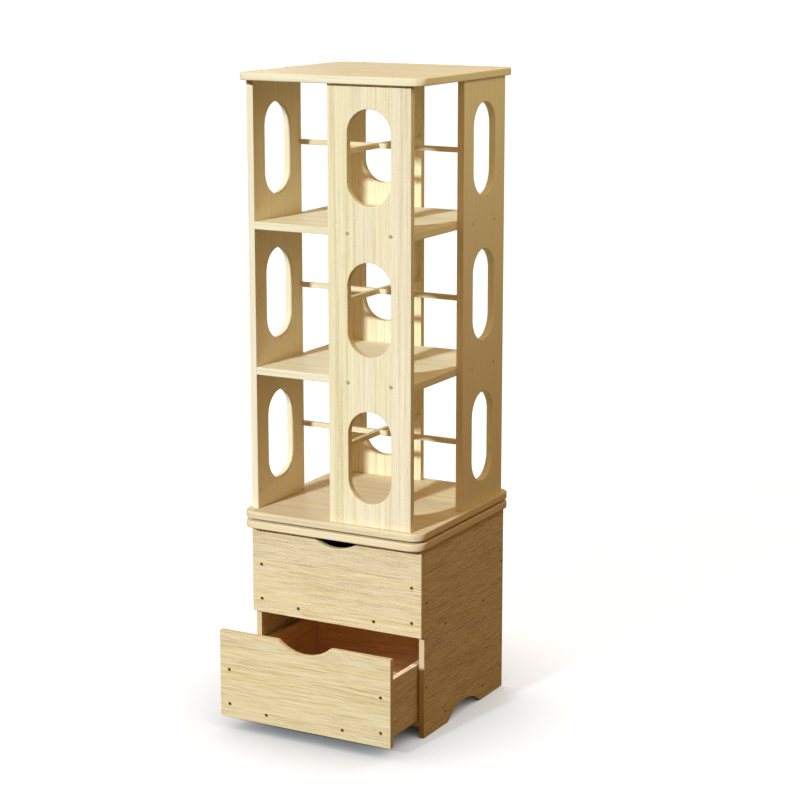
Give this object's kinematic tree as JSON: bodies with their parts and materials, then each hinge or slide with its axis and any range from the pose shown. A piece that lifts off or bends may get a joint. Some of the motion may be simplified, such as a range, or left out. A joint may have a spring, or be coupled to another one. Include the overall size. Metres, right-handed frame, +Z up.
{
  "type": "revolving bookcase",
  "caption": "Floor-standing wooden bookcase: a square shelf tower with windowed pinwheel panels turns on a drawer base by a ball-bearing swivel.",
  "frame": {"origin": "on the tower's turning axis at floor level, between the feet", "axes": "+Z up along the turning axis, -Y towards the front, where the drawers open, +X to the right seen from the front"},
  "size_m": [0.407, 0.5075, 1.3],
  "materials": {
    "board_wood": "satin clear lacquer",
    "panel_wood": "satin clear lacquer",
    "bar_wood": "satin clear lacquer",
    "drawer_front_wood": "satin clear lacquer",
    "drawer_box_wood": "satin clear lacquer",
    "base_side_wood": "satin clear lacquer",
    "base_inner_wood": "satin clear lacquer",
    "dark_screw": "dark oxide",
    "zinc_screw": "yellow zinc plated",
    "bright_screw": "zinc plated",
    "ring_aluminium": "stamped",
    "ball_steel": "polished"
  },
  "bodies": {
    "base": {"base_top": "board_wood", "base_side_left": "base_side_wood", "base_side_right": "base_side_wood", "base_back": "base_inner_wood", "base_divider": "base_inner_wood", "base_bottom": "base_inner_wood", "swivel_fixed_ring": "ring_aluminium", "swivel_fixed_screws": "bright_screw", "base_top_screws": "dark_screw", "base_side_screws": "dark_screw"},
    "tower": {"top_board": "board_wood", "shelf_upper": "board_wood", "shelf_lower": "board_wood", "tower_base": "board_wood", "panel_front": "panel_wood", "panel_right": "panel_wood", "panel_rear": "panel_wood", "panel_left": "panel_wood", "stop_bar_x_upper": "bar_wood", "stop_bar_x_middle": "bar_wood", "stop_bar_x_lower": "bar_wood", "stop_bar_y_upper": "bar_wood", "stop_bar_y_middle": "bar_wood", "stop_bar_y_lower": "bar_wood", "top_screws": "zinc_screw", "shelf_screws": "zinc_screw", "tower_base_screws": "zinc_screw", "swivel_turning_ring": "ring_aluminium", "swivel_turning_screws": "bright_screw"},
    "ball_ring": {"swivel_balls": "ball_steel"},
    "upper_drawer": {"upper_drawer_front": "drawer_front_wood", "upper_drawer_side_left": "drawer_box_wood", "upper_drawer_side_right": "drawer_box_wood", "upper_drawer_back": "drawer_box_wood", "upper_drawer_bottom": "drawer_box_wood", "upper_drawer_screws": "dark_screw"},
    "lower_drawer": {"lower_drawer_front": "drawer_front_wood", "lower_drawer_side_left": "drawer_box_wood", "lower_drawer_side_right": "drawer_box_wood", "lower_drawer_back": "drawer_box_wood", "lower_drawer_bottom": "drawer_box_wood", "lower_drawer_screws": "dark_screw"}
  },
  "joints": [
    {"name": "tower_turn", "type": "hinge", "parent": "base", "child": "tower", "pos_m": [0, 0, 0.4075], "axis": [0, 0, 1], "continuous": true},
    {"name": "ball_ring_turn", "type": "hinge", "parent": "base", "child": "ball_ring", "pos_m": [0, 0, 0.4075], "axis": [0, 0, 1], "continuous": true},
    {"name": "upper_drawer_slide", "type": "slide", "parent": "base", "child": "upper_drawer", "axis": [0, -1, 0], "range_m": [0, 0.236]},
    {"name": "lower_drawer_slide", "type": "slide", "parent": "base", "child": "lower_drawer", "axis": [0, -1, 0], "range_m": [-0.126, 0.11]}
  ],
  "couplings": [
    {"joint": "ball_ring_turn", "follows": "tower_turn", "ratio": 0.5}
  ]
}
